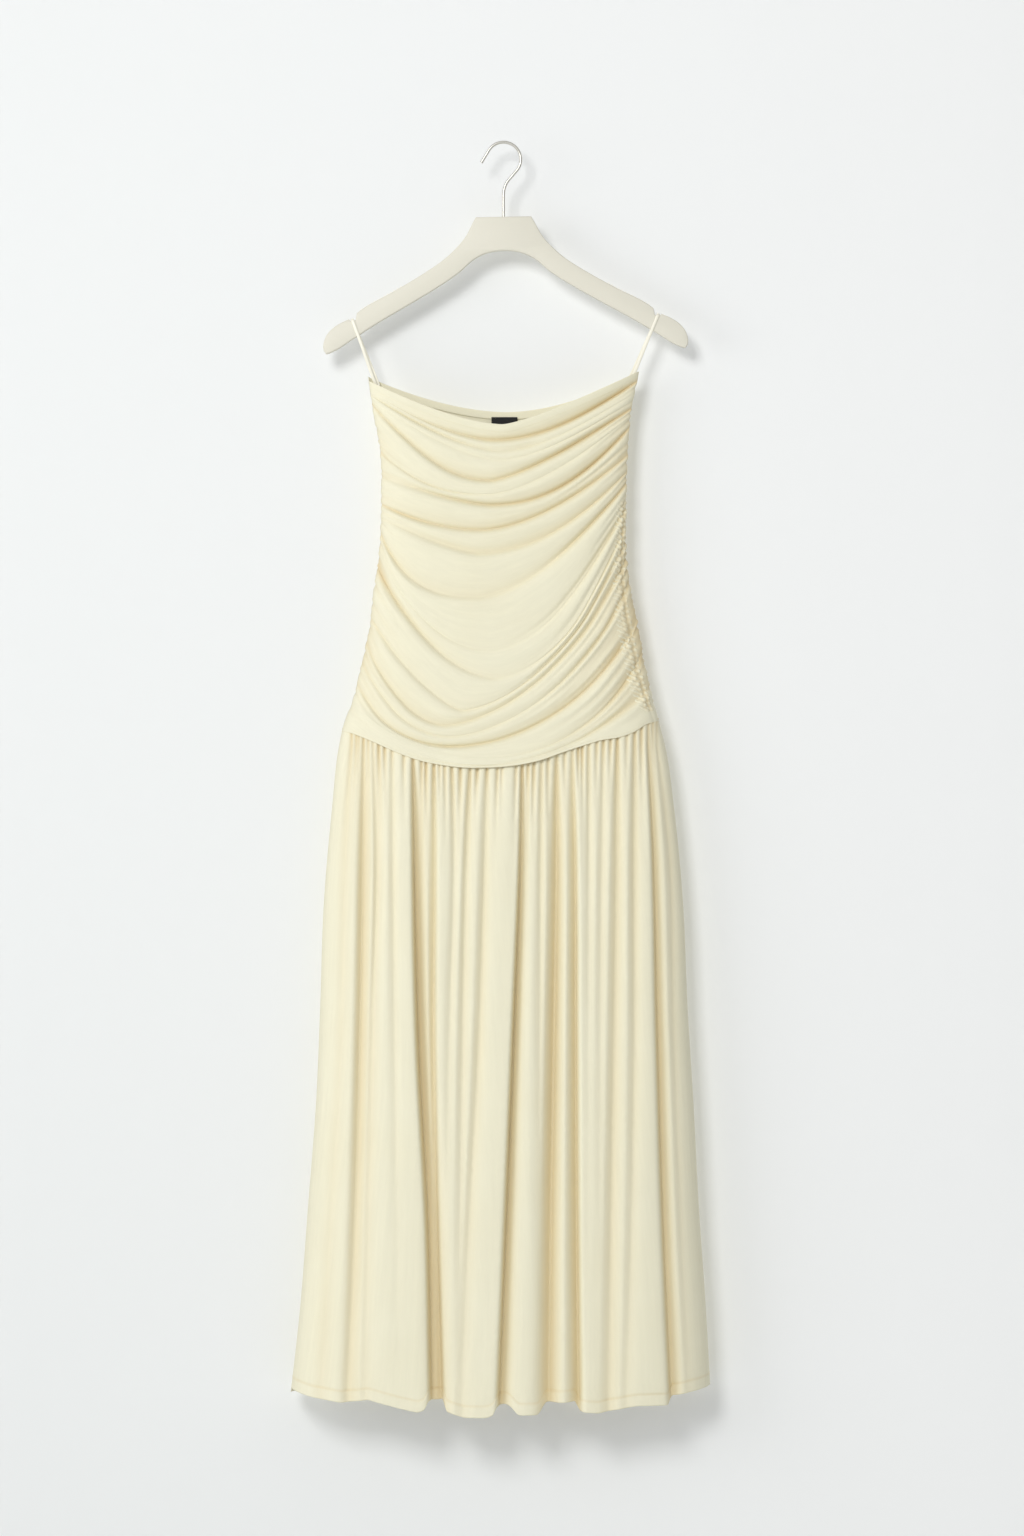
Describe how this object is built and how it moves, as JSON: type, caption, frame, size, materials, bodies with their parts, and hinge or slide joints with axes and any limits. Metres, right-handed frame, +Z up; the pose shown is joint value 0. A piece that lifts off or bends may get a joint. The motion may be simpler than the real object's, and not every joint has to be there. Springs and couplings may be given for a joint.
{
  "type": "dropped waist dress on hanger",
  "caption": "Strapless maxi dress with a draped bodice and a gathered skirt below a dropped, curved waist seam, hanging by two ribbon loops from a board hanger with a wire hook",
  "frame": {"origin": "the point inside the top of the hook's crook where the hook rests on the rod or peg that holds it up", "axes": "+Z is up, +X is to the right as seen from the front, and the dress's front faces -Y"},
  "size_m": [0.4854, 0.0988, 1.4693],
  "materials": {
    "jersey": "fine soft viscose jersey, matt with a faint sheen on its folds, pale butter yellow",
    "label": "plain black woven label, blank",
    "ribbon": "narrow ivory satin ribbon",
    "board": "smooth matt warm beige",
    "wire": "thin satin metal wire"
  },
  "bodies": {
    "root": {"bodice_front": "jersey", "bodice_back": "jersey", "skirt_front": "jersey", "skirt_back": "jersey", "neck_label": "label", "hanger_loop_left": "ribbon", "hanger_loop_right": "ribbon", "hanger": "board", "hanger_hook": "wire"}
  },
  "joints": []
}
